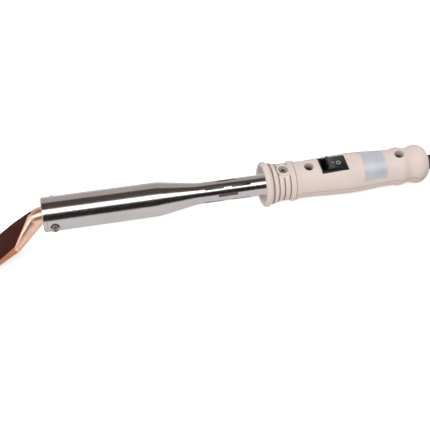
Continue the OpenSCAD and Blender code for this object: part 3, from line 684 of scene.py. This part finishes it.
def grip_outline():
    """Outside of the grip from its front dish to its rear, with its four grooves."""
    lip = 0.0023
    lip_c = FLANGE_R - lip
    knob = 0.0085
    knob_x, knob_c = GRIP_LEN - knob, 0.0151 - knob
    bead_x, bead_r, neck_x, widest = BEAD_X, 0.0154, 0.029, 0.070
    waist, ring, rear_neck = GRIP_LEN - 0.0295, GRIP_LEN - 0.0235, GRIP_LEN - 0.0165
    rings = groove(0)
    for k in range(3):
        for u in (0.2, 0.35, 0.5, 0.65, 0.8):
            r = RING_R[k] + (RING_R[k + 1] - RING_R[k]) * u + 0.0003 * math.sin(math.pi * u)
            rings.append((GROOVE_X + (k + u) * GROOVE_PITCH, r))
        rings += groove(k + 1)
    return (
        arc(lip, lip_c, lip, -180, 48, 22) + rings
        + ease(GROOVE_X + 3 * GROOVE_PITCH + 0.0009, RING_R[3] + 0.0002, bead_x, bead_r, 8)
        + [(bead_x + 0.0009, bead_r), (STEP_X, bead_r - 0.00012),
           (STEP_X + 0.00006, bead_r - 0.0009), (STEP_X + 0.0004, bead_r - 0.0009),
           (STEP_X + 0.00052, bead_r - 0.0004)]
        + ease(bead_x + 0.002, bead_r - 0.0004, neck_x, 0.0141, 6)
        + ease(neck_x, 0.0141, widest, GRIP_R, 14)[1:]
        + ease(widest, GRIP_R, waist, 0.014, 12)[1:]
        + ease(waist, 0.014, ring, 0.015, 9)[1:]
        + ease(ring, 0.015, rear_neck, 0.0134, 9)[1:]
        + ease(rear_neck, 0.0134, knob_x, 0.0151, 9)[1:]
        + arc(knob_x, knob_c, knob, 5, 90, 18))


def grip_body(name):
    """The whole turned grip with its grooves and its hollow, closed."""
    boot_neck, hollow = 0.0046, 0.0118
    hollow_end = GRIP_LEN - 0.0085 - 0.003
    start = (0.019, SEAT_R)
    return turned(name, [start, (0.010, SEAT_R), (0.010, 0.0092), (0.006, 0.0092)]
                  + grip_outline()
                  + [(GRIP_LEN, boot_neck), (hollow_end, boot_neck), (hollow_end, hollow - 0.0012),
                     (GRIP_LEN - 0.0295, hollow), (0.019, hollow), start], sizes().sides)


class IRON_OT_grip(bpy.types.Operator):
    """Model both halves of the grip with their grooves, boss, wells and switch opening"""

    bl_idname = "iron.grip"
    bl_label = "Grip"

    def execute(self, context):
        plastic = self.plastic("grip plastic", tint("grip"))
        r, g, b, _ = tint("grip")
        # painted shade: a darker copy of the grip's plastic for the grooves and the step behind the
        # bead; the seam takes it too, as a dark joint
        painted_shade_and_seam = self.plastic("grip plastic, grimy", (r * 0.50, g * 0.38, b * 0.35, 1))
        # painted shade: copies of the grip's plastic that darken towards the axis, down the screw
        # wells and in the dish round the barrel
        walls = self.plastic("grip plastic, well", tint("grip"), (0.0086, 0.0126))
        dish = self.plastic("grip plastic, dish", tint("grip"), (0.0086, 0.0106))
        upper, lower = self.upper(), self.lower()
        for half, node in ((upper, "handle_upper"), (lower, "handle_lower")):
            self.seam(half)
            smooth(half, 38)
            deep = [(face.index, self.depth_of(face.center)) for face in half.data.polygons]
            lay_down(half)
            settle(half, "iron", plastic, node, slot="grip_plastic")
            half.data.materials.append(painted_shade_and_seam)
            half.data.materials.append(walls)
            half.data.materials.append(dish)
            for index, material in deep:
                half.data.polygons[index].material_index = material
            half.visible_glossy = False
        return {"FINISHED"}

    def seam(self, half):
        """Breaks the edge where the halves meet, behind the bead."""
        only(half)
        edit("EDGE")
        bpy.ops.mesh.select_all(action="DESELECT")
        leave()
        for line in half.data.edges:
            ends = [half.data.vertices[i].co for i in line.vertices]
            line.select = all(abs(v.z) < SEAT and abs(v.y) > 0.0125
                              and STEP_X + 0.001 < v.x < GRIP_LEN - 0.001 for v in ends)
        bpy.ops.object.mode_set(mode="EDIT")
        bpy.ops.mesh.bevel(offset=0.00014, segments=2, affect="EDGES")
        leave()

    def depth_of(self, place):
        """Which material a point takes: 0 skin, 1 painted shade in a groove and on the bead's step,
        and the darker seam, 2 painted shade in a well, 3 painted shade in the dish.
        """
        r = math.hypot(place.y, place.z)
        # painted shade in the screw wells
        if any(math.hypot(place.x - x, place.y) < WELL_R + 0.0001 and 0.004 < place.z < 0.0137
               for x in (COLLAR_X, *SCREWS_X)):
            return 2
        # painted shade in the dish round the barrel
        if 0.002 < place.x < 0.0102 and r < 0.0126:
            return 3
        # painted shade on the step behind the bead
        if 0 < place.x - STEP_X < 0.00046 and r > 0.0140:
            return 1
        # the seam between the halves, darker as a joint
        if abs(place.z) < 0.0002 and abs(place.y) > 0.0125 and place.x > STEP_X + 0.001:
            return 1
        # painted shade down in the grooves
        return int(any(abs(place.x - GROOVE_X - k * GROOVE_PITCH) < 0.0006
                       and RING_R[k] - GROOVE_DEPTH - 0.0003 < r < RING_R[k] - 0.0001
                       for k in range(4)))

    def plastic(self, name, grip, deep=None):
        f = Finish(name, Specular_IOR_Level=0.35)
        cloud = f.noise(f.coords, 28.0, 3.0, 0.55)
        flow = f.noise(f.stretched(f.iron_coords(), (20.0, 140.0, 140.0)), 1.0, 3.0)
        base = f.ramp(cloud, (0.3, shade(grip, 0.955)), (0.7, shade(grip, 1.03)))
        warm = (grip[0], grip[1] * 0.965, grip[2] * 0.955, 1)
        skin = f.mix(f.ramp(flow, (0.4, 0.0), (0.8, 0.6)), base, warm)
        if deep:
            # painted shade: the deeper towards the axis, the darker
            across = f.add("ShaderNodeVectorMath", {"operation": "MULTIPLY"}).inputs
            f.tree.links.new(f.iron_coords(), across[0])
            across[1].default_value = (0.0, 1.0, 1.0)
            length = f.add("ShaderNodeVectorMath", {"operation": "LENGTH"})
            f.tree.links.new(across[0].node.outputs["Vector"], length.inputs[0])
            depth = f.add("ShaderNodeMapRange", Value=length.outputs["Value"],
                          From_Min=deep[0], From_Max=deep[1])
            skin = f.mix(depth.outputs["Result"], shade(grip, 0.07), skin)
        f.to(skin, "Base Color")
        fine = f.noise(f.coords, 1400.0, 4.0, 0.6)
        f.to(f.ramp(fine, (0.3, 0.46), (0.7, 0.58)), "Roughness")
        f.bump(fine, 0.1, 0.00006)
        return f.material

    def upper(self):
        body = grip_body("grip_upper")
        combine(body, box("half", (-0.001, -0.020, SEAT / 2), (0.134, 0.020, 0.020)), "INTERSECT")
        # the second groove bends round the boss of the collar screw, and the others stop at it
        arm = rod("arm", BOSS_R + GROOVE_W, (COLLAR_X, 0, RING_R[1] - GROOVE_DEPTH - 0.0008),
                  (COLLAR_X, 0, 0.020), 96)
        combine(arm, box("front", (0, -0.010, 0.008),
                         (GROOVE_X + 1.3 * GROOVE_PITCH, 0.010, 0.0205)), "INTERSECT")
        combine(arm, rod("core", RING_R[1] - GROOVE_DEPTH, (0, 0, 0), (0.030, 0, 0), 96),
                "DIFFERENCE")
        combine(body, arm, "DIFFERENCE")
        combine(body, self.pad(), "UNION")
        combine(body, self.boss(), "UNION")
        for x in SCREWS_X:
            combine(body, rod("post", POST_R, (x, 0, SEAT / 2), (x, 0, 0.0131), 48), "UNION")
        wells = [self.well(x, 0.005) for x in SCREWS_X] + [self.well(COLLAR_X, NECK_R + 0.0026)]
        combine(body, joined(wells), "DIFFERENCE")
        holes = [rod("hole", SCREW_R + SEAT, (x, 0, -MM), (x, 0, 0.007)) for x in SCREWS_X]
        holes.append(rod("hole", SCREW_R + SEAT, (COLLAR_X, 0, 0.006), (COLLAR_X, 0, 0.012)))
        combine(body, joined(holes), "DIFFERENCE")
        bezel_top, bezel_t = 0.0133, 0.0018
        combine(body, self.scoop(bezel_top), "DIFFERENCE")
        for length, width, bottom in ((0.021, 0.015, bezel_top - bezel_t), (0.019, 0.013, -MM)):
            combine(body, box("opening", (SWITCH_X - length / 2 - SEAT, -width / 2 - SEAT, bottom),
                              (SWITCH_X + length / 2 + SEAT, width / 2 + SEAT, 0.020)),
                    "DIFFERENCE")
        return body

    def boss(self):
        """The raised round boss with a rounded rim."""
        boss = rod("boss", BOSS_R, (COLLAR_X, 0, SEAT_R + MM), (COLLAR_X, 0, BOSS_TOP), 96)
        return bevelled(boss, 0.0005, 4, 60)

    def pad(self):
        """Low pad that ends the two rear grooves a little before the boss."""
        pad = rod("pad", BOSS_R + 0.0012, (COLLAR_X, 0, 0.010), (COLLAR_X, 0, 0.016), 96)
        skin = rod("skin", 0.01385, (0.0125, 0, 0), (0.0208, 0, 0), 160, 0.01415)
        return combine(pad, skin, "INTERSECT")

    def scoop(self, floor):
        """Cutter that eases the grip's skin down to the bezel at both of its ends."""
        half, rise, run = 0.0107, 0.0030, 0.0056
        scoop = box("scoop", (SWITCH_X - half, -0.0076, floor),
                    (SWITCH_X + half, 0.0076, floor + rise))
        only(scoop)
        edit()
        bpy.ops.mesh.select_all(action="DESELECT")
        leave()
        for v in scoop.data.vertices:
            v.select = v.co.z > floor + rise / 2
        bpy.ops.object.mode_set(mode="EDIT")
        bpy.ops.transform.resize(value=((half + run) / half, 1, 1),
                                 center_override=(SWITCH_X, 0, floor + rise))
        leave()
        return scoop

    def well(self, x, floor):
        """Cutter of a screw well, with a soft edge a little above the skin."""
        rim = 0.0146 if x == COLLAR_X else 0.0142 if x < 0.05 else 0.0148
        edge = 0.0001
        well = rod("well", WELL_R, (x, 0, floor), (x, 0, rim - edge), 64)
        cone = rod("cone", WELL_R, (x, 0, rim - edge - 0.00001), (x, 0, rim + 0.0012), 64,
                   WELL_R + 0.0012 + edge)
        return combine(well, cone, "UNION")

    def lower(self):
        body = grip_body("grip_lower")
        combine(body, box("half", (-0.001, -0.020, -0.020), (0.134, 0.020, -SEAT / 2)), "INTERSECT")
        for x in SCREWS_X:
            combine(body, rod("post", POST_R - 0.0004, (x, 0, -0.0131), (x, 0, -SEAT / 2), 48),
                    "UNION")
        for x in (0.077, 0.0835):
            rib = rod("rib", 0.0123, (x, 0, 0), (x + 0.0015, 0, 0), 96)
            combine(rib, box("below", (x - MM, -0.013, -0.013), (x + 0.003, 0.013, -0.0081)),
                    "INTERSECT")
            combine(body, rib, "UNION")
        holes = [rod("hole", SCREW_R + 0.00005, (x, 0, -0.011), (x, 0, 0.001)) for x in SCREWS_X]
        combine(body, joined(holes), "DIFFERENCE")
        return body


class IRON_OT_label(bpy.types.Operator):
    """Stick the bare label on the grip"""

    bl_idname = "iron.label"
    bl_label = "Label"

    def execute(self, context):
        s = sizes()
        x0, x1 = s.label_start, s.label_start + s.label_length
        outline = grip_outline()

        def radius(x):
            for (xa, ra), (xb, rb) in zip(outline, outline[1:]):
                if xa <= x <= xb and xb > xa:
                    return ra + (rb - ra) * (x - xa) / (xb - xa)
            raise ValueError(x)

        only(None)
        steps = 10
        marks = [x0 + (x1 - x0) * i / steps for i in range(steps + 1)]
        lift = 0.00003
        bpy.ops.mesh.primitive_plane_add(size=MM, location=(x0, 0, radius(x0) + lift))
        label = bpy.context.object
        label.name = "bare_label"
        edit()
        bpy.ops.mesh.merge(type="CENTER")
        for a, b in zip(marks, marks[1:]):
            bpy.ops.mesh.extrude_region_move(
                TRANSFORM_OT_translate={"value": (b - a, 0, radius(b) - radius(a))})
        bpy.ops.mesh.select_all(action="SELECT")
        bpy.ops.transform.rotate(value=-s.label_reach, orient_axis="X", center_override=(0, 0, 0))
        bpy.ops.mesh.spin(steps=48, angle=2 * s.label_reach, center=(0, 0, 0), axis=(1, 0, 0))
        leave()
        bpy.ops.object.transform_apply(location=True, rotation=True, scale=True)
        top = max(label.data.vertices, key=lambda v: v.co.z).co
        print("label reaches", top, min(v.co.y for v in label.data.vertices))
        self.round_corners(label, 0.0012)
        if sum(f.normal.z for f in label.data.polygons) < 0:
            edit()
            bpy.ops.mesh.flip_normals()
            leave()
        bpy.ops.object.modifier_add(type="SOLIDIFY")
        mod = label.modifiers[-1]
        mod.thickness, mod.offset = 0.00006, 1
        bpy.ops.object.modifier_apply(modifier=mod.name)
        smooth(label, 40)
        lay_down(label)
        settle(label, "iron", self.foil())
        return {"FINISHED"}

    def round_corners(self, label, size):
        ends = {}
        for v in label.data.vertices:
            for key, value in (("a", v.co.x + 100 * v.co.y), ("b", v.co.x - 100 * v.co.y),
                               ("c", -v.co.x + 100 * v.co.y), ("d", -v.co.x - 100 * v.co.y)):
                if key not in ends or value > ends[key][0]:
                    ends[key] = (value, v.index)
        only(label)
        edit()
        bpy.ops.mesh.select_all(action="DESELECT")
        leave()
        for _, index in ends.values():
            label.data.vertices[index].select = True
        bpy.ops.object.mode_set(mode="EDIT")
        bpy.ops.mesh.bevel(offset=size, segments=4, affect="VERTICES")
        leave()

    def foil(self):
        f = Finish("label foil", Metallic=0.2, Coat_Weight=0.1, Coat_Roughness=0.25)
        label = tint("label")
        cloud = f.noise(f.coords, 110.0, 3.0)
        f.to(f.ramp(cloud, (0.3, shade(label, 0.94)), (0.7, shade(label, 1.06))), "Base Color")
        fine = f.noise(f.stretched(f.iron_coords(), (300.0, 3000.0, 3000.0)), 1.0, 2.0)
        f.to(f.ramp(fine, (0.3, 0.42), (0.7, 0.52)), "Roughness")
        f.bump(f.noise(f.coords, 400.0, 3.0), 0.05, 0.0001)
        return f.material


class IRON_OT_switch(bpy.types.Operator):
    """Finish the rocker switch and paint its two marks"""

    bl_idname = "iron.switch"
    bl_label = "Rocker switch"

    def execute(self, context):
        black = tint("black")
        dressed("switch_body", "switch_bezel", "iron",
                moulded("bezel plastic", black, 0.33, strength=0.15, Coat_Weight=0.2),
                "switch_black", 0.0004, 30)
        dressed("rocker", "switch_rocker_key", "switch_rocker",
                moulded("rocker plastic", shade(black, 1.2), 0.24, strength=0.1,
                        Coat_Weight=0.3, Coat_Roughness=0.15),
                "rocker_black", 0.0003, 30, 3)
        white = moulded("mark paint", (0.42, 0.42, 0.43, 1), 0.5, strength=0.05)
        # the rocker's own frame is turned about its pins; the marks lie on its two slopes
        turn = Matrix.Translation((SWITCH_X, 0, 0.0075)) @ Matrix.Rotation(
            math.radians(13), 4, "Y")
        half, top = 0.0077, 0.00855
        dip = half * math.tan(math.radians(13))
        # the face falls from each end to the middle in two slopes; both marks are on inner ones
        inner = math.atan2(0.45 * dip, half / 2)
        dash = box("dash", (-0.0010, -0.0003, -0.00004), (0.0010, 0.0003, 0.00004))
        ring = rod("ring", 0.0017, (0, 0, -0.00004), (0, 0, 0.00004), 40)
        combine(ring, rod("hole", 0.0011, (0, 0, -MM), (0, 0, MM), 40), "DIFFERENCE")
        marks = []
        for mark, x, z, lean in (
                (dash, -0.0024, top - dip + 0.45 * dip * 0.0024 / (half / 2), inner),
                (ring, 0.0024, top - dip + 0.45 * dip * 0.0024 / (half / 2), -inner)):
            mark.matrix_world = (turn @ Matrix.Translation((x, 0, z + 0.00006))
                                 @ Matrix.Rotation(lean, 4, "Y"))
            only(mark)
            bpy.ops.object.transform_apply(location=True, rotation=True, scale=True)
            marks.append(mark)
        both = joined(marks)
        both.name = "switch_marks"
        lay_down(both)
        settle(both, "switch_rocker", white)
        return {"FINISHED"}


class IRON_OT_screws(bpy.types.Operator):
    """Finish the clamp screws, the collar screw and the grip screws"""

    bl_idname = "iron.screws"
    bl_label = "Screws"

    def execute(self, context):
        nickel = plain_metal("nickel plate", (0.74, 0.73, 0.71), 0.2)
        # painted shade: a darker copy of the plating for the screws that sit down in the clamp holes
        # and the collar well
        painted_shade_plate = plain_metal("heat-dulled plate", (0.46, 0.43, 0.415), 0.24)
        for node, name, body, metal in (
                ("clamp_screw_near", "clamp_screw_near_head", "near_screw", painted_shade_plate),
                ("clamp_screw_far", "clamp_screw_far_head", "far_screw", painted_shade_plate),
                ("collar_screw", "collar_screw_head", "iron", painted_shade_plate),
                ("handle_screws", "grip_screw_pair", "iron", nickel)):
            dressed(node, name, body, metal, "plated_screw", 0.00012, 30)
        return {"FINISHED"}


class IRON_OT_boot(bpy.types.Operator):
    """Finish the strain relief"""

    bl_idname = "iron.boot"
    bl_label = "Strain relief"

    def execute(self, context):
        dressed("cord_boot", "strain_relief", "iron",
                moulded("strain relief rubber", tint("cord"), 0.4, strength=0.15),
                "cord_rubber", 0.00015, 30)
        return {"FINISHED"}


class IRON_OT_inner(bpy.types.Operator):
    """Give the pieces inside the iron their finishes"""

    bl_idname = "iron.inner"
    bl_label = "Inner parts"

    def execute(self, context):
        dark = turned_metal("heat-darkened steel", (0.06, 0.05, 0.047, 1), 0.42, 5000.0)
        wire = turned_metal("resistance wire", (0.42, 0.39, 0.36, 1), 0.35, 6000.0)
        brass = plain_metal("brass", (0.72, 0.54, 0.24), 0.28)
        ceramic = moulded("ceramic", (0.82, 0.79, 0.72, 1), 0.3, mottle=0.03)
        finishes = {
            "front_bush": dark, "heater_core": dark, "heating_winding": wire,
            "heater_tails": wire, "inner_mica": self.mica(), "rear_insulator": ceramic,
            "terminal_block": ceramic, "heater_leads": self.sleeve(), "switch_tabs": brass,
            "earth_screw": brass, "terminal_screws": brass,
            "earth_lead": moulded("earth insulation", (0.10, 0.30, 0.05, 1), 0.4),
            "cord_cores": moulded("core insulation", (0.22, 0.10, 0.05, 1), 0.4),
            "cord_inner": moulded("inner cord rubber", tint("cord"), 0.45),
            "cord_stop": moulded("nylon", (0.8, 0.78, 0.74, 1), 0.35, mottle=0.03),
        }
        finishes["outer_mica"] = finishes["inner_mica"]
        for node, material in finishes.items():
            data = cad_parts[node].data
            data.materials.clear()
            data.materials.append(material)
        return {"FINISHED"}

    def mica(self):
        f = Finish("mica", Metallic=0.2, Roughness=0.35)
        flakes = f.add("ShaderNodeTexVoronoi", Vector=f.coords, Scale=450.0).outputs["Color"]
        f.to(f.mix(flakes, (0.42, 0.33, 0.2, 1), (0.68, 0.6, 0.46, 1)), "Base Color")
        return f.material

    def sleeve(self):
        f = Finish("glass sleeve", Roughness=0.8, Sheen_Weight=0.3)
        weave = f.add("ShaderNodeTexWave", {"bands_direction": "DIAGONAL"}, Vector=f.coords,
                      Scale=900.0, Distortion=2.0).outputs["Fac"]
        f.to(f.ramp(weave, (0.2, (0.5, 0.47, 0.4, 1)), (0.8, (0.82, 0.8, 0.72, 1))), "Base Color")
        f.bump(weave, 0.4, 0.0001)
        return f.material


class IRON_OT_stage(bpy.types.Operator):
    """Add the floor, the lamps and the white surroundings"""

    bl_idname = "iron.stage"
    bl_label = "Studio"

    def execute(self, context):
        scene = context.scene
        scene.view_settings.view_transform = "Standard"
        self.floor()
        self.world(scene)
        self.lamp("strip", (-0.95, -0.490, 1.254), (4.5, 0.62), 16.5)
        soft = self.lamp("soft", (-0.1, -0.35, 1.9), (1.6, 1.6), 10.0)
        soft.visible_glossy = False
        for name, low, high, value in (
                ("card_front", 36, 83, (0.022, 0.018, 0.018)),
                ("card_above", -42, 11, (0.10, 0.078, 0.07)),
                ("card_back", -96, -43, (0.58, 0.54, 0.52))):
            self.card(name, low, high, value)
        return {"FINISHED"}

    def floor(self):
        only(None)
        bpy.ops.mesh.primitive_plane_add(size=8.0, location=(0, 0, 0))
        floor = bpy.context.object
        floor.name = "floor"
        material = bpy.data.materials.new("floor white")
        material.use_nodes = True
        tree = material.node_tree
        shader = tree.nodes["Principled BSDF"]
        shader.inputs["Base Color"].default_value = (0.80, 0.80, 0.80, 1)
        shader.inputs["Roughness"].default_value = 0.9
        shader.inputs["Specular IOR Level"].default_value = 0.0
        # a little light of its own brings it up to white for the camera, less so in reflections
        path = tree.nodes.new("ShaderNodeLightPath")
        seen = tree.nodes.new("ShaderNodeMath")
        seen.operation = "MAXIMUM"
        tree.links.new(path.outputs["Is Camera Ray"], seen.inputs[0])
        tree.links.new(path.outputs["Is Transmission Ray"], seen.inputs[1])
        direct = tree.nodes.new("ShaderNodeMath")
        direct.operation = "MULTIPLY"
        direct.inputs[1].default_value = 0.66
        tree.links.new(seen.outputs[0], direct.inputs[0])
        glow = tree.nodes.new("ShaderNodeMath")
        glow.operation = "MULTIPLY_ADD"
        glow.inputs[1].default_value = 0.05
        tree.links.new(path.outputs["Is Glossy Ray"], glow.inputs[0])
        tree.links.new(direct.outputs[0], glow.inputs[2])
        shader.inputs["Emission Color"].default_value = (1, 1, 1, 1)
        tree.links.new(glow.outputs[0], shader.inputs["Emission Strength"])
        floor.data.materials.append(material)

    def world(self, scene):
        world = bpy.data.worlds.new("white room")
        scene.world = world
        world.use_nodes = True
        tree = world.node_tree
        background = tree.nodes["Background"]
        background.inputs["Color"].default_value = (1, 1, 1, 1)
        path = tree.nodes.new("ShaderNodeLightPath")
        total = path.outputs["Is Camera Ray"]
        for name in ("Is Glossy Ray", "Is Transmission Ray"):
            add = tree.nodes.new("ShaderNodeMath")
            add.operation = "ADD"
            add.use_clamp = True
            tree.links.new(total, add.inputs[0])
            tree.links.new(path.outputs[name], add.inputs[1])
            total = add.outputs[0]
        # 1 for what sees the background, and a softer light on the object itself
        level = tree.nodes.new("ShaderNodeMapRange")
        tree.links.new(total, level.inputs["Value"])
        level.inputs["To Min"].default_value = 0.445
        level.inputs["To Max"].default_value = 1.0
        tree.links.new(level.outputs["Result"], background.inputs["Strength"])

    def lamp(self, name, place, size, power):
        """An area lamp that faces the iron's axis."""
        data = bpy.data.lights.new(name, "AREA")
        data.shape, data.size, data.size_y, data.energy = "RECTANGLE", size[0], size[1], power
        lamp = bpy.data.objects.new(name, data)
        bpy.context.scene.collection.objects.link(lamp)
        lamp.location = place
        lamp.rotation_euler = (math.atan2(-place[1], place[2]), 0, 0)
        return lamp

    def card(self, name, low, high, value):
        """A long curved card beside the iron that only reflections see, as a studio uses."""
        only(None)
        radius = 1.9
        start = math.radians(high)
        bpy.ops.mesh.primitive_plane_add(
            size=MM, location=(-3.0, -radius * math.sin(start), radius * math.cos(start)))
        card = bpy.context.object
        card.name = name
        edit()
        bpy.ops.mesh.merge(type="CENTER")
        bpy.ops.mesh.extrude_region_move(TRANSFORM_OT_translate={"value": (6.0, 0, 0)})
        bpy.ops.mesh.select_all(action="SELECT")
        bpy.ops.mesh.spin(steps=16, angle=math.radians(high - low), center=(0, 0, 0),
                          axis=(1, 0, 0))
        leave()
        bpy.ops.object.transform_apply(location=True, rotation=True, scale=True)
        card.visible_camera = card.visible_diffuse = card.visible_shadow = False
        card.visible_transmission = False
        material = bpy.data.materials.new(name)
        material.use_nodes = True
        shader = material.node_tree.nodes["Principled BSDF"]
        shader.inputs["Base Color"].default_value = (0, 0, 0, 1)
        shader.inputs["Specular IOR Level"].default_value = 0.0
        shader.inputs["Emission Color"].default_value = (*value, 1)
        shader.inputs["Emission Strength"].default_value = 1.0
        card.data.materials.append(material)


class IRON_PT_panel(bpy.types.Panel):
    """Sizes, colours and pieces of the iron"""

    bl_idname = "IRON_PT_panel"
    bl_label = "Soldering iron"
    bl_space_type = "VIEW_3D"
    bl_region_type = "UI"
    bl_category = "Iron"

    def draw(self, context):
        for group in (context.scene.iron_sizes, context.scene.iron_colours):
            for key in group.__annotations__:
                self.layout.prop(group, key)
        for step in STEPS:
            self.layout.operator(step.bl_idname)


STEPS = (IRON_OT_camera, IRON_OT_cord, IRON_OT_bit, IRON_OT_barrel, IRON_OT_grip,
         IRON_OT_label, IRON_OT_switch, IRON_OT_screws, IRON_OT_boot, IRON_OT_inner,
         IRON_OT_stage)
CLASSES = (IronColours, IronSizes, *STEPS, IRON_PT_panel)


def register():
    for item in CLASSES:
        bpy.utils.register_class(item)
    bpy.types.Scene.iron_colours = bpy.props.PointerProperty(type=IronColours)
    bpy.types.Scene.iron_sizes = bpy.props.PointerProperty(type=IronSizes)


def unregister():
    del bpy.types.Scene.iron_sizes
    del bpy.types.Scene.iron_colours
    for item in reversed(CLASSES):
        bpy.utils.unregister_class(item)


def main():
    register()
    bpy.ops.iron.camera()
    bpy.ops.iron.cord()
    bpy.ops.iron.bit()
    bpy.ops.iron.barrel()
    bpy.ops.iron.grip()
    bpy.ops.iron.label()
    bpy.ops.iron.switch()
    bpy.ops.iron.screws()
    bpy.ops.iron.boot()
    bpy.ops.iron.inner()
    bpy.ops.iron.stage()
    only(None)


if __name__ == "__main__":
    main()
